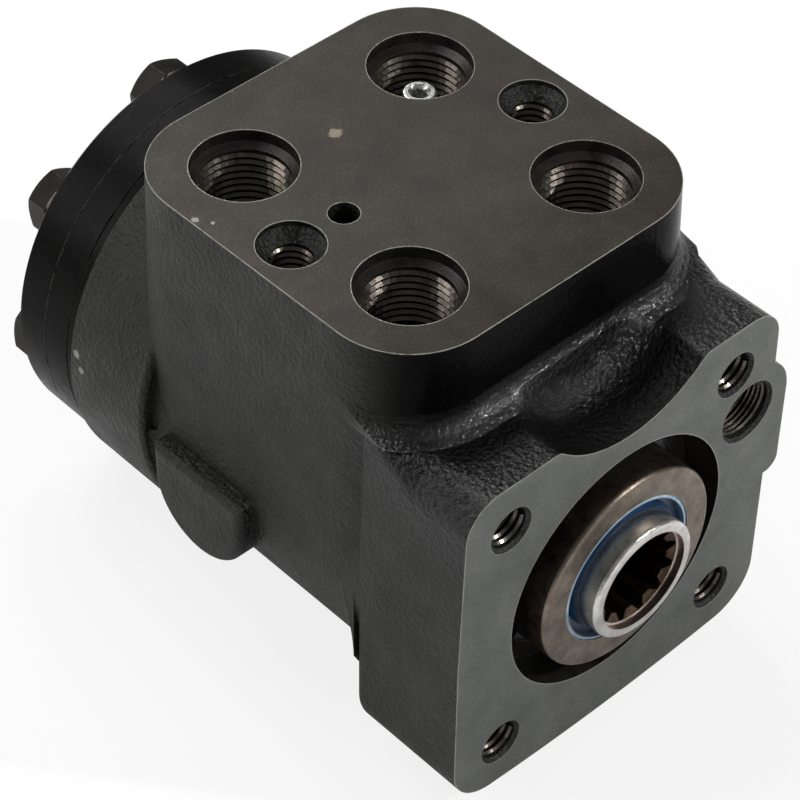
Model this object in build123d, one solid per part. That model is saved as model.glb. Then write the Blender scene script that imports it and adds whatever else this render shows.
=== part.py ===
"""Orbital steering unit: rotary control valve with a gerotor metering set.

Frame, in millimetres: X to the right, Y along the shaft axis from the mounting
flange to the rear, Z up towards the port face. The origin is the centre of the
flange bolt pattern, on the flange face, so the shaft axis is the Y axis.
"""
import math
import os

from build123d import *

os.makedirs("parts", exist_ok=True)

# ---------------------------------------------------------------- clearances
RUN_FIT = 0.05            # radial running clearance of turning pieces
SEAT_FIT = 0.02           # radial clearance of pieces that only seat
FACE_FIT = 0.05           # axial clearance beside turning pieces

# ------------------------------------------------------- housing, cast shape
BODY_R = 41.3             # underside radius and half width at shaft height
DRAFT = math.tan(math.radians(1.6))
SHOULDER_Z = 40.6         # top of the flange ears
BOTTOM_Z = -39.1            # ends of the underside
BOTTOM_BOW = 2.0             # how far its middle hangs below them
FLANGE_T = 28.0           # depth of the square mounting block
FLANGE_BOTTOM_R = 10.5
FLANGE_TOP_R = 7.8
EAR_REAR_R = 1.0             # the ears' top corners sharpen towards the port block
EAR_RISE_Y0 = 14.0
EAR_RISE_Y1 = 23.0
PORT_FACE_Z = 60.0
PORT_FACE_Y0 = 16.8
PORT_FACE_CORNER_R = 17.0
REAR_Y = 108.0            # machined rear face of the housing
BLOCK_INSET = 11.0         # port block ends this far before the rear face
PORT_FACE_Y1 = REAR_Y - BLOCK_INSET
REAR_R = 44.2
RIM_DEPTH = 22.0
RIM_Y = REAR_Y - RIM_DEPTH     # front of the rear rim
SCOOP_R = 26.0            # hollow between the two ears
SCOOP_X = 1.2
SCOOP_Z = 58.6
SCOOP_Y1 = 15.4
FLARE_R = 5.0             # concave foot of the port block
FLARE_TOE = 3.9              # reach of the foot where it dies into the ear
FLARE_STEPS = 5
FLARE_Y1 = 60.0
RIM_FOOT_R = 2.0
FOOT_R = 4.0
CAST_R = 2.5
SCOOP_EDGE_R = 3.0
LUG_Y = 69.2              # half round lug on the left flank
LUG_R = 12.8
LUG_FACE_X = -(BODY_R + 3.7)
LUG_CENTRE_Z = -6.8
LUG_TOP_Z = 1.0
LUG_EDGE_R = 1.6
BULGE_R = 11.0               # swelling round the relief valve bore
BULGE_LOW_Z = -5.0           # foot of the straight skirt under it
BULGE_FOOT_R = 3.0
BULGE_ROOT = 12.0            # how far the skirt reaches into the body
SCOOP_END_R = 7.0

# --------------------------------------------------------- flange and ports
BOLT_CIRCLE = 82.55
BOLT_OFFSET = BOLT_CIRCLE / 2 / math.sqrt(2)
BOLT_HOLE_R = 4.25        # M10 tapping size
BOLT_HOLE_DEPTH = 20.0
BOLT_CHAMFER = 0.8
RECESS_R = 27.74
RECESS_DEPTH = 9.0

PORT_X = 22.1
PORT_Y_MID = 56.4
PORT_PITCH = 44.4
PORT_MOUTH_R = 10.33
PORT_MOUTH_DEPTH = 2.6
PORT_THREAD_R = 8.9       # three quarter inch port thread, minor radius
PORT_DEPTH = 17.0
PORT_CONE = 0.9
FACE_HOLE_X = 30.3
FACE_HOLE_R = 4.25
FACE_HOLE_DEPTH = 20.0
FACE_SINK_R = 6.5
FACE_SINK_LIP = 1.2
SMALL_HOLE_X = -17.6
SMALL_HOLE_R = 3.0
SMALL_HOLE_DEPTH = 14.0
PASSAGE_R = 2.6
PASSAGE_END_Z = 10.0
GALLERY_R = 26.0          # ring galleries round the sleeve
GALLERY_W = 3.6
PASSAGE_Y = {"left_front": 31.2, "right_front": 37.4, "left_rear": 73.0, "right_rear": 78.6}

# ------------------------------------------------------------ valve spindle
CHANNEL_ROW_INSET = 20.0
CHANNEL_ROW_Y = REAR_Y - CHANNEL_ROW_INSET  # side ports that serve the metering set
BORE_R = 19.05
SLEEVE_R = BORE_R - RUN_FIT
SPOOL_R = 15.0
SLEEVE_BORE_R = SPOOL_R + RUN_FIT
SLEEVE_Y1 = REAR_Y - 2.0
SPOOL_Y0 = -6.9
SPOOL_Y1 = SLEEVE_Y1 - 6.0
SHAFT_R = 13.0
SPOOL_BORE_R = 11.0
SPOOL_BORE_Y0 = 31.0
SPLINE_TEETH = 12
SOCKET_MOUTH_R = 10.84
SOCKET_MOUTH_DEPTH = 1.5
SOCKET_ROOT_R = 10.35
SOCKET_TIP_R = 8.73
SOCKET_Y1 = 13.0
SOCKET_PHASE = 10.0
PIN_Y = 40.0
PIN_R = 4.0
PIN_LEN = 37.2
TWIST = 8.0               # spool against sleeve, each way, in degrees
SPOOL_WINDOW_R = PIN_R + SPOOL_R * math.sin(math.radians(TWIST)) + 0.3
SPRING_Y = 26.5
SPRING_W = 4.6
SPRING_T = 0.45
SPRING_LEN = 37.0
SPRING_SLOT_W = 5.0
SPRING_SLOT_H = 4.2
SPRING_BOW = 0.55         # rise of each curved leaf at its ends
SLEEVE_GROOVE_W = 3.0
SLEEVE_GROOVE_DEPTH = 0.6
SLEEVE_ROWS = {           # row name: height on the axis, hole radius
    "left_front": (PASSAGE_Y["left_front"], 1.4),
    "left_rear": (PASSAGE_Y["left_rear"], 1.4),
    "right_rear": (PASSAGE_Y["right_rear"], 1.2),
    "metering": (CHANNEL_ROW_Y, 1.2),
}
SLEEVE_HOLE_COUNT = {"left_front": 6, "left_rear": 6, "right_rear": 12, "metering": 12}
SPOOL_SLOT_COUNT = 6
SPOOL_SLOT_Y = 62.0
SPOOL_SLOT_LEN = 24.0
SPOOL_GROOVE_Y = 84.0

# ---------------------------------------------------- gland, seals, bearing
GLAND_Y0 = -2.65
GLAND_Y1 = 17.0
GLAND_NOSE_R = 22.1
GLAND_R = 24.05
GLAND_STEP_Y = 11.95
GLAND_BORE_R = SHAFT_R + 0.10
GLAND_SEAT_R = GLAND_R + SEAT_FIT
GLAND_SEAT_Y1 = 20.6      # rear end of the widened bore round gland and bearing
RING_WIRE = 1.9
RING_OUT_R = 25.2
RING_IN_R = 22.4
RING_GAP = 24.0           # opening of the split ring, degrees
DUST_R = 16.2
DUST_Y1 = 2.2
DUST_RIM_T = 0.75         # wall of the outer rim
DUST_LIP_GAP = 0.08       # lip against the shaft, drawn just clear
DUST_VALLEY = 2.0
SHAFT_SEAL_R = 15.8
SHAFT_SEAL_Y0 = 6.0
SHAFT_SEAL_W = 2.8
GLAND_RING_Y = 14.4
GLAND_RING_SECTION = 0.9
BEARING_IN_R = 13.3
BEARING_OUT_R = 18.8
RACE_T = 1.0
CAGE_T = 2.2
NEEDLE_COUNT = 16
RACE_Y = GLAND_Y1
SLEEVE_Y0 = RACE_Y + 2 * RACE_T + CAGE_T + 2 * FACE_FIT
GLAND_EDGE_R = 0.9
RING_GAP_AT = 215.0       # where the retaining ring opens

# ---------------------------------------------------------- metering set
SPACER_T = 2.6
RING_T = 7.1
COVER_T = 8.5
SET_R = 43.2
SPACER_Y = REAR_Y
RING_Y = SPACER_Y + SPACER_T
COVER_Y = RING_Y + RING_T
COVER_BACK = COVER_Y + COVER_T
LOBE_COUNT = 7
LOBE_INSET = 11.8
LOBE_PITCH_R = SET_R - LOBE_INSET
LOBE_R = 9.5
ECCENTRIC = 2.9
LOBE_CLEARANCE = 0.12
POCKET_R = LOBE_PITCH_R - LOBE_R + 2 * ECCENTRIC + 0.15
STAR_ROOT_R = 9.35
STAR_TIP_R = 7.75
SET_PHASE = 90.0          # first lobe and first screw point straight up
SCREW_INSET = 8.4
SCREW_CIRCLE_R = SET_R - SCREW_INSET
SET_SEAL_INSET = 5.3
SET_SEAL_R = SCREW_CIRCLE_R - SET_SEAL_INSET
SET_SEAL_SECTION = 0.75
SET_SEAL_DEPTH = 1.5
SET_SEAL_SLACK = 0.03
RIM_CHAMFER = 0.25
STAR_POINTS = 14
CHANNEL_R = 2.25
CHANNEL_INSET = 17.8
CHANNEL_PITCH_R = SET_R - CHANNEL_INSET
CHANNEL_END_Y = CHANNEL_ROW_Y - 2.0

# -------------------------------------------------------------- drive link
DRIVE_R = 6.5
DRIVE_Y0 = 33.0
DRIVE_FORK_R = 10.1
DRIVE_FORK_Y1 = 47.0
DRIVE_Y1 = RING_Y + 4.3
DRIVE_HEAD_Y0 = RING_Y - 0.8
DRIVE_TIP_R = 9.0
DRIVE_ROOT_R = 7.35
STAR_MID_Y = RING_Y + RING_T / 2
DRIVE_TILT = math.degrees(math.atan2(ECCENTRIC, STAR_MID_Y - PIN_Y))
DRIVE_SLOT = 2 * PIN_R + 0.3
SPACER_BORE_R = 13.0
PUCK_R = 7.2
PUCK_T = 1.6

# ------------------------------------------------------------- cap screws
SCREW_R = 4.0
SCREW_HOLE_R = 4.2
SCREW_BITE = 14.0          # how far the screws reach into the housing
SCREW_END_Y = REAR_Y - SCREW_BITE
SCREW_HEAD_AF = 12.7
SCREW_HEAD_T = 5.5
WASHER_T = 1.1
WASHER_R = 6.9

# ------------------------------------------------ valves inside the housing
RELIEF_INSET = 7.3         # bore centre inside the flank
RELIEF_X = BODY_R - RELIEF_INSET
RELIEF_Z = 16.4
RELIEF_THREAD_R = 6.35
RELIEF_MOUTH_R = 7.0
RELIEF_THREAD_Y1 = 22.0
RELIEF_CHAMBER_R = 5.2
RELIEF_CHAMBER_Y1 = 42.0
RELIEF_END_Y = 52.0
RELIEF_WAY_R = 2.0        # oil way from the relief seat back to the supply well
RELIEF_RETURN_R = 1.5     # cross way from the spring chamber to the return passage
RELIEF_RETURN_Y = 36.2
RELIEF_SCREW_Y0 = 13.0
RELIEF_SCREW_Y1 = 20.0
RELIEF_SEAT_Y0 = 38.0
RELIEF_SEAT_HOLE_R = 1.8
POPPET_R = 3.0
POPPET_LEN = 6.0
SPRING_MEAN_R = 3.3
SPRING_WIRE_R = 0.6
SPRING_TURNS = 5
POPPET_COLLAR_R = 4.2
POPPET_STEM_R = 2.4
POPPET_TIP_R = 0.6
POPPET_CONE_LEN = 4.0
POPPET_COLLAR_T = 1.2

CHECK_TOP_Z = 53.7
CHECK_STEM_R = 3.4
CHECK_THREAD_R = 4.35
CHECK_SEAT_Z = 33.0
CHECK_END_Z = 25.0
CHECK_TUBE_R = 3.6
CHECK_WELL_R = 5.0
BALL_R = 2.6
BALL_SEAT_R = 1.5
BALL_LIFT = 1.5
BALL_STOP_R = 1.9
SOCKET_AF = 3.0

UP = (Align.CENTER, Align.CENTER, Align.MIN)


def rod(radius, y0, y1, x=0.0, z=0.0):
    """Cylinder lying along the shaft axis."""
    return Pos(x, y0, z) * Rot(-90, 0, 0) * Cylinder(radius, y1 - y0, align=UP)


def pipe(outer, inner, y0, y1, x=0.0, z=0.0):
    """Hollow cylinder lying along the shaft axis."""
    return rod(outer, y0, y1, x, z) - rod(inner, y0 - 1, y1 + 1, x, z)


def taper(r0, r1, y0, y1, x=0.0, z=0.0):
    """Cone frustum along the shaft axis, radius r0 at y0 and r1 at y1."""
    return Pos(x, y0, z) * Rot(-90, 0, 0) * Cone(r0, r1, y1 - y0, align=UP)


def post(radius, z0, z1, x, y):
    """Upright cylinder."""
    return Pos(x, y, z0) * Cylinder(radius, z1 - z0, align=UP)


def sink(r_top, r_bottom, z_top, depth, x, y):
    """Upright cone frustum hanging down from z_top."""
    return Pos(x, y, z_top - depth) * Cone(r_bottom, r_top, depth, align=UP)


def slab(outline, y0, y1):
    """Sketch in X and Z pushed out from y0 to y1."""
    return extrude(Plane.XZ.offset(-y0) * outline, amount=-(y1 - y0))


def on_circle(radius, degrees):
    """X and Z of a point on a circle round the shaft axis."""
    a = math.radians(degrees)
    return radius * math.cos(a), radius * math.sin(a)


def spline_outline(teeth, root_r, tip_r, half_root, half_tip, phase, inside):
    """Straight-flanked spline: a disc with teeth added or spaces added outwards."""
    base = Circle(tip_r if inside else root_r)
    far = root_r if inside else tip_r
    near = (tip_r if inside else root_r) - 0.6
    wide, slim = (half_tip, half_root) if inside else (half_root, half_tip)
    for k in range(teeth):
        tooth = Polygon((near, -wide), (far, -slim), (far, slim), (near, wide), align=None)
        base += Rot(0, 0, phase + 360 / teeth * k) * tooth
    return base


def o_ring(mean_r, section_r, y):
    """Round-section ring whose plane is square to the shaft axis."""
    return Pos(0, y, 0) * Rot(-90, 0, 0) * Torus(mean_r, section_r)


def half_width(z):
    """Half width of the drafted flanks at height z."""
    return BODY_R - z * DRAFT


# ================================================================== housing
def flange_outline(top_r=FLANGE_TOP_R):
    """Mounting block seen from the front: bowed underside, drafted flanks, rounded ears."""
    top = half_width(SHOULDER_Z)
    under = ThreePointArc((-BODY_R, BOTTOM_Z), (0, BOTTOM_Z - BOTTOM_BOW), (BODY_R, BOTTOM_Z))
    right = Polyline(under @ 1, (BODY_R, 0), (top, SHOULDER_Z))
    left = Polyline((top, SHOULDER_Z), (-top, SHOULDER_Z), (-BODY_R, 0), under @ 0)
    block = make_face([under, right, left])
    low = [v for v in block.vertices() if v.Y < -1]
    block = fillet(low, FLANGE_BOTTOM_R)
    high = [v for v in block.vertices() if v.Y > SHOULDER_Z - 1]
    return fillet(high, top_r)


def bottom_window():
    """Everything above the flat underside."""
    return Pos(0, BOTTOM_Z + BODY_R) * Rectangle(3 * BODY_R, 2 * BODY_R)


def relief_bulge():
    """Swelling of the flange round the relief valve bore, with a straight skirt under it."""
    inner = BODY_R - BULGE_ROOT
    outer = RELIEF_X + BULGE_R
    skirt = Polygon(
        (inner, BULGE_LOW_Z), (outer, BULGE_LOW_Z), (outer, RELIEF_Z), (inner, RELIEF_Z),
        align=None,
    )
    foot = [v for v in skirt.vertices() if v.X > outer - 0.1 and v.Y < 0]
    return fillet(foot, BULGE_FOOT_R) + Pos(RELIEF_X, RELIEF_Z) * Circle(BULGE_R)


def port_block():
    """Drafted block that carries the port face."""
    length = PORT_FACE_Y1 - PORT_FACE_Y0
    mid = (PORT_FACE_Y1 + PORT_FACE_Y0) / 2
    grow = PORT_FACE_Z * DRAFT
    top_w = 2 * half_width(PORT_FACE_Z)
    top = Pos(0, mid, PORT_FACE_Z) * RectangleRounded(top_w, length, PORT_FACE_CORNER_R)
    foot = Pos(0, mid, 0) * RectangleRounded(
        top_w + 2 * grow, length + 2 * grow, PORT_FACE_CORNER_R + grow
    )
    return loft([foot, top])


def lug():
    shape = Pos(LUG_Y, LUG_CENTRE_Z) * Circle(LUG_R)
    tall = LUG_TOP_Z - LUG_CENTRE_Z
    shape += Pos(LUG_Y, LUG_CENTRE_Z + tall / 2) * Rectangle(2 * LUG_R, tall)
    ceiling = Pos(LUG_Y, LUG_TOP_Z - 2 * LUG_R) * Rectangle(4 * LUG_R, 4 * LUG_R)
    shape = shape & ceiling
    blank = extrude(Plane.YZ.offset(LUG_FACE_X) * shape, amount=BODY_R / 2)
    front = [e for e in blank.edges() if abs(e.center().X - LUG_FACE_X) < 0.1]
    return fillet(front, LUG_EDGE_R)


def flare():
    """Concave foot where the port block rises from the two ears."""
    length = PORT_FACE_Y1 - PORT_FACE_Y0
    mid = (PORT_FACE_Y1 + PORT_FACE_Y0) / 2
    sections = []
    for k in range(FLARE_STEPS + 1):
        swing = math.radians(90 * k / FLARE_STEPS)
        z = SHOULDER_Z - 0.01 + FLARE_R * (1 - math.cos(swing))
        reach = min(FLARE_TOE, FLARE_R * (1 - math.sin(swing)))
        out = reach + (PORT_FACE_Z - z) * DRAFT
        width = 2 * half_width(PORT_FACE_Z) + 2 * out
        outline = RectangleRounded(width, length + 2 * out, PORT_FACE_CORNER_R + out)
        sections.append(Pos(0, mid, z) * outline)
    foot = loft(sections, ruled=True)
    window = slab(body_outline_to(PORT_FACE_Z), 0, FLARE_Y1)
    return foot & window


def body_outline_to(height):
    """Drafted outline of the upper body, as wide as the flanks allow."""
    top = half_width(height)
    return Polygon((-BODY_R, 0), (BODY_R, 0), (top, height), (-top, height), align=None)


def concave_ring(radius, y_face, size, direction):
    """Quarter-round foot between a round body and a face square to its axis."""
    far = y_face + direction * size
    swing = size * math.sqrt(0.5)
    middle = (radius + size - swing, far - direction * swing)
    arc = ThreePointArc((radius + size, y_face), middle, (radius, far))
    back = Polyline((radius, far), (radius - 2, far), (radius - 2, y_face), (radius + size, y_face))
    return revolve(make_face([arc, back]), Axis.Y)


def rounded_rod(radius, y0, y1, edge_r):
    """Cylinder whose front rim is rounded."""
    blank = rod(radius, y0, y1)
    rim = [e for e in blank.edges() if abs(e.center().Y - y0) < 0.1]
    return fillet(rim, edge_r)


def flange_block():
    block = slab(flange_outline(), 0, EAR_RISE_Y0)
    round_ears = Plane.XZ.offset(-EAR_RISE_Y0) * flange_outline()
    sharp_ears = Plane.XZ.offset(-EAR_RISE_Y1) * flange_outline(EAR_REAR_R)
    block += loft([round_ears, sharp_ears], ruled=True)
    block += slab(flange_outline(EAR_REAR_R), EAR_RISE_Y1, FLANGE_T)
    block += slab(relief_bulge(), 0, FLANGE_T)
    rear = [e for e in block.edges() if e.bounding_box().min.Y > FLANGE_T - 0.1]
    low = [e for e in rear if e.bounding_box().max.Z < -FLANGE_BOTTOM_R]
    return fillet(low, CAST_R)


def casting():
    body = slab(Circle(BODY_R) & bottom_window(), 0, RIM_Y + 2)
    body += port_block()
    body += flange_block()
    body += flare()
    foot = concave_ring(BODY_R, FLANGE_T, FOOT_R, 1)
    body += foot & slab(flange_outline(), FLANGE_T, FLANGE_T + FOOT_R) & below_axis()
    body += rounded_rod(REAR_R, RIM_Y, REAR_Y, CAST_R / 2)
    body += concave_ring(BODY_R, RIM_Y, RIM_FOOT_R, -1) & below_axis()
    body += lug()
    body += relief_boss()
    return body


def below_axis():
    """Half space under the height of the shaft axis."""
    return Pos(0, REAR_Y / 2, -BODY_R * 2) * Box(BODY_R * 4, REAR_Y * 2, BODY_R * 4)


def relief_boss():
    """Cast swelling that carries the relief valve behind the flange."""
    boss = slab(relief_bulge(), FLANGE_T - 2, RELIEF_END_Y + 4)
    back = [e for e in boss.edges() if e.bounding_box().min.Y > RELIEF_END_Y]
    outer = [e for e in back if e.bounding_box().max.X > BODY_R + 1]
    return fillet(outer, CAST_R)


def scoop():
    tool = rod(SCOOP_R, -5, SCOOP_Y1, SCOOP_X, SCOOP_Z)
    end = [e for e in tool.edges() if abs(e.center().Y - SCOOP_Y1) < 0.1]
    return fillet(end, SCOOP_END_R)


def port_cut(x, y):
    tool = post(PORT_MOUTH_R, PORT_FACE_Z - PORT_MOUTH_DEPTH, PORT_FACE_Z + 1, x, y)
    tool += sink(PORT_MOUTH_R, PORT_THREAD_R, PORT_FACE_Z - PORT_MOUTH_DEPTH, PORT_CONE, x, y)
    tool += post(PORT_THREAD_R, PORT_FACE_Z - PORT_DEPTH, PORT_FACE_Z, x, y)
    return tool


def face_hole_cut(x):
    z = PORT_FACE_Z
    cone_depth = FACE_SINK_R - FACE_HOLE_R
    tool = post(FACE_HOLE_R, z - FACE_HOLE_DEPTH, z + 1, x, PORT_Y_MID)
    tool += post(FACE_SINK_R, z - FACE_SINK_LIP, z + 1, x, PORT_Y_MID)
    tool += sink(FACE_SINK_R, FACE_HOLE_R, z - FACE_SINK_LIP, cone_depth, x, PORT_Y_MID)
    return tool


def gallery(y):
    return pipe(GALLERY_R, 10.0, y - GALLERY_W / 2, y + GALLERY_W / 2)


def valve_bore_cut():
    tool = rod(RECESS_R, -5, RECESS_DEPTH)
    tool += rod(GLAND_SEAT_R, -5, GLAND_SEAT_Y1)
    tool += rod(RING_OUT_R + 0.1, GLAND_STEP_Y - RING_WIRE - 0.05, GLAND_STEP_Y)
    tool += rod(BORE_R, 0, REAR_Y + 5)
    for y in PASSAGE_Y.values():
        tool += gallery(y)
    return tool


def relief_cut():
    tool = rod(RELIEF_THREAD_R, -5, RELIEF_THREAD_Y1, RELIEF_X, RELIEF_Z)
    tool += taper(RELIEF_MOUTH_R + 1, RELIEF_THREAD_R, -1, 0.75, RELIEF_X, RELIEF_Z)
    tool += rod(RELIEF_CHAMBER_R, 0, RELIEF_CHAMBER_Y1, RELIEF_X, RELIEF_Z)
    tool += rod(POPPET_R, 0, RELIEF_END_Y, RELIEF_X, RELIEF_Z)
    supply_y = PASSAGE_Y["right_rear"]
    tool += rod(RELIEF_WAY_R, 0, supply_y, RELIEF_X, RELIEF_Z)
    return tool + cross_way(RELIEF_WAY_R, supply_y) + cross_way(RELIEF_RETURN_R, RELIEF_RETURN_Y)


def cross_way(radius, y):
    """Oil way across the body, from the relief valve's axis to the ports' axis."""
    reach = RELIEF_X - PORT_X
    way = Rot(0, 90, 0) * Cylinder(radius, reach, align=UP)
    return Pos(PORT_X, y, RELIEF_Z) * way


def check_cut():
    y = PASSAGE_Y["right_rear"]
    floor = PORT_FACE_Z - PORT_DEPTH
    tool = post(CHECK_THREAD_R + SEAT_FIT, CHECK_SEAT_Z, floor + 1, PORT_X, y)
    return tool + post(CHECK_WELL_R, PASSAGE_END_Z, CHECK_SEAT_Z, PORT_X, y)


def meter_channel_cut(k):
    """Oil way from the metering set to the valve bore, with its side port."""
    angle = SET_PHASE + 360 / LOBE_COUNT * (k + 0.5)
    x, z = on_circle(CHANNEL_PITCH_R, angle)
    tool = rod(CHANNEL_R, CHANNEL_END_Y, REAR_Y + 1, x, z)
    side = Pos(0, 0, BORE_R - 1) * Cylinder(1.5, CHANNEL_PITCH_R - BORE_R + 1, align=UP)
    return tool + Pos(0, CHANNEL_END_Y + 2, 0) * Rot(0, 90 - angle, 0) * side


def rear_seal_groove(y_face, direction):
    """Ring groove for a face seal; it runs from y_face into the piece."""
    far = y_face + direction * SET_SEAL_DEPTH
    lo, hi = min(y_face, far), max(y_face, far)
    half = SET_SEAL_SECTION + 0.1
    return pipe(SET_SEAL_R + half, SET_SEAL_R - half, lo, hi)


def build_housing():
    body = casting()
    body = soften(body - scoop())
    for sx in (-1, 1):
        for sy in (-1, 1):
            body -= port_cut(sx * PORT_X, PORT_Y_MID + sy * PORT_PITCH / 2)
        body -= face_hole_cut(sx * FACE_HOLE_X)
        for sz in (-1, 1):
            x, z = sx * BOLT_OFFSET, sz * BOLT_OFFSET
            body -= rod(BOLT_HOLE_R, -1, BOLT_HOLE_DEPTH, x, z)
            mouth = BOLT_HOLE_R + BOLT_CHAMFER
            body -= taper(mouth + 1, BOLT_HOLE_R, -1, BOLT_CHAMFER, x, z)
    small_floor = PORT_FACE_Z - SMALL_HOLE_DEPTH
    body -= post(SMALL_HOLE_R, small_floor, PORT_FACE_Z + 1, SMALL_HOLE_X, PORT_Y_MID)
    body -= valve_bore_cut()
    port_floor = PORT_FACE_Z - PORT_DEPTH
    for name, y in PASSAGE_Y.items():
        if name == "right_rear":
            continue
        x = -PORT_X if name.startswith("left") else PORT_X
        body -= post(PASSAGE_R, PASSAGE_END_Z, port_floor + 1, x, y)
    body -= check_cut()
    body -= relief_cut()
    for k in range(LOBE_COUNT):
        body -= meter_channel_cut(k)
        x, z = on_circle(SCREW_CIRCLE_R, SET_PHASE + 360 / LOBE_COUNT * k)
        body -= rod(SCREW_R + SEAT_FIT, SCREW_END_Y - 2, REAR_Y + 1, x, z)
    body -= rear_seal_groove(REAR_Y, -1)
    return body


def soften(body):
    """Round the edges that the hollow leaves between the two ears."""
    edges = []
    for edge in body.edges():
        box = edge.bounding_box()
        crosswise = box.max.Y - box.min.Y > 0.5
        level = box.min.Z > SHOULDER_Z - 10 and box.max.Z < SHOULDER_Z + 8
        in_saddle = level and abs(edge.center().X) < SCOOP_R - 2
        if in_saddle and crosswise and 2 < box.max.Y < SCOOP_Y1 + 2:
            edges.append(edge)
    return fillet(edges, SCOOP_EDGE_R)


# =========================================================== gland and seals
def build_gland():
    body = rod(GLAND_NOSE_R, GLAND_Y0, GLAND_STEP_Y + 1)
    nose = [e for e in body.edges() if abs(e.center().Y - GLAND_Y0) < 0.1]
    body = fillet(nose, GLAND_EDGE_R)
    body += rod(GLAND_R, GLAND_STEP_Y, GLAND_Y1)
    body -= rod(GLAND_BORE_R, GLAND_Y0 - 1, GLAND_Y1 + 1)
    body -= rod(DUST_R, GLAND_Y0 - 1, DUST_Y1)
    body -= pipe(SHAFT_SEAL_R, 5, SHAFT_SEAL_Y0, SHAFT_SEAL_Y0 + SHAFT_SEAL_W)
    groove = GLAND_RING_SECTION + 0.15
    floor_r = GLAND_R - 2 * GLAND_RING_SECTION - SEAT_FIT
    body -= pipe(GLAND_R + 1, floor_r, GLAND_RING_Y - groove, GLAND_RING_Y + groove)
    return body


def build_retaining_ring():
    """Split wire ring that holds the gland in the housing."""
    y0 = GLAND_STEP_Y - RING_WIRE
    ring = pipe(RING_OUT_R, RING_IN_R, y0, GLAND_STEP_Y)
    half = RING_OUT_R * math.tan(math.radians(RING_GAP / 2))
    gap = Polygon((0, 0), (2 * RING_OUT_R, -2 * half), (2 * RING_OUT_R, 2 * half), align=None)
    return ring - slab(Rot(0, 0, RING_GAP_AT) * gap, y0 - 1, GLAND_STEP_Y + 1)


def build_dust_seal():
    """Wiper: an outer rim, a valley and a lip that leans on the shaft."""
    rim = DUST_R - SEAT_FIT
    lip = SHAFT_R + DUST_LIP_GAP
    top = GLAND_Y0 + 0.35
    floor = GLAND_Y0 + DUST_VALLEY
    profile = Polyline(
        (rim, DUST_Y1), (rim, top), (rim - DUST_RIM_T, top - 0.2),
        (rim - DUST_RIM_T - 0.15, floor), (lip + 0.85, floor + 0.1), (lip + 0.25, top + 0.2),
        (lip, top + 0.35), (lip, top + 1.15), (lip + 0.3, floor + 0.6), (lip + 0.3, DUST_Y1),
        close=True,
    )
    return revolve(make_face(profile), Axis.Y)


def build_shaft_seal():
    """Four-lobed ring seal round the shaft."""
    mid_r = (SHAFT_R + SHAFT_SEAL_R) / 2
    mid_y = SHAFT_SEAL_Y0 + SHAFT_SEAL_W / 2
    half = (SHAFT_SEAL_R - SHAFT_R) / 2 - 0.03
    lobe = half * 0.45
    section = Pos(mid_r, mid_y) * Rectangle(2 * half * 0.72, 2 * half * 0.72)
    for sx in (-1, 1):
        for sy in (-1, 1):
            centre = Pos(mid_r + sx * (half - lobe), mid_y + sy * (half - lobe))
            section += centre * Circle(lobe)
    return revolve(section, Axis.Y)


def build_front_race():
    return pipe(BEARING_OUT_R, BEARING_IN_R, RACE_Y, RACE_Y + RACE_T)


def build_needle_bearing():
    """Flat cage with needles lying in its pockets."""
    y0 = RACE_Y + RACE_T + FACE_FIT
    mid = y0 + CAGE_T / 2
    half = CAGE_T / 2
    cage = pipe(BEARING_OUT_R - 0.3, BEARING_IN_R + 0.2, mid - 0.55, mid + 0.55)
    length = BEARING_OUT_R - BEARING_IN_R - 1.7
    x = (BEARING_OUT_R + BEARING_IN_R) / 2
    for k in range(NEEDLE_COUNT):
        needle = Pos(x, 0, 0) * Rot(0, 90, 0) * Cylinder(half, length)
        cage += Pos(0, mid, 0) * Rot(0, 360 / NEEDLE_COUNT * k, 0) * needle
    return cage


def build_rear_race():
    return pipe(BEARING_OUT_R, BEARING_IN_R, SLEEVE_Y0 - RACE_T, SLEEVE_Y0)


# ======================================================== sleeve and spool
def build_sleeve():
    body = pipe(SLEEVE_R, SLEEVE_BORE_R, SLEEVE_Y0, SLEEVE_Y1)
    body -= spring_slot(SLEEVE_R + 1)
    body -= Pos(0, PIN_Y, 0) * Rot(0, 90, 0) * Cylinder(PIN_R + SEAT_FIT, 2 * SLEEVE_R + 2)
    half = SLEEVE_GROOVE_W / 2
    floor_r = SLEEVE_R - SLEEVE_GROOVE_DEPTH
    for row, (name, (y, radius)) in enumerate(SLEEVE_ROWS.items()):
        count = SLEEVE_HOLE_COUNT[name]
        if name != "metering":
            body -= pipe(SLEEVE_R + 1, floor_r, y - half, y + half)
        for k in range(count):
            turn = 360 / count * (k + 0.5 * row)
            drill = Pos(0, y, 0) * Rot(0, turn, 0) * Cylinder(radius, SLEEVE_R + 1, align=UP)
            body -= drill
    return body


def spring_slot(reach):
    return Pos(0, SPRING_Y, 0) * Box(2 * reach, SPRING_SLOT_W, SPRING_SLOT_H)


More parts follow.
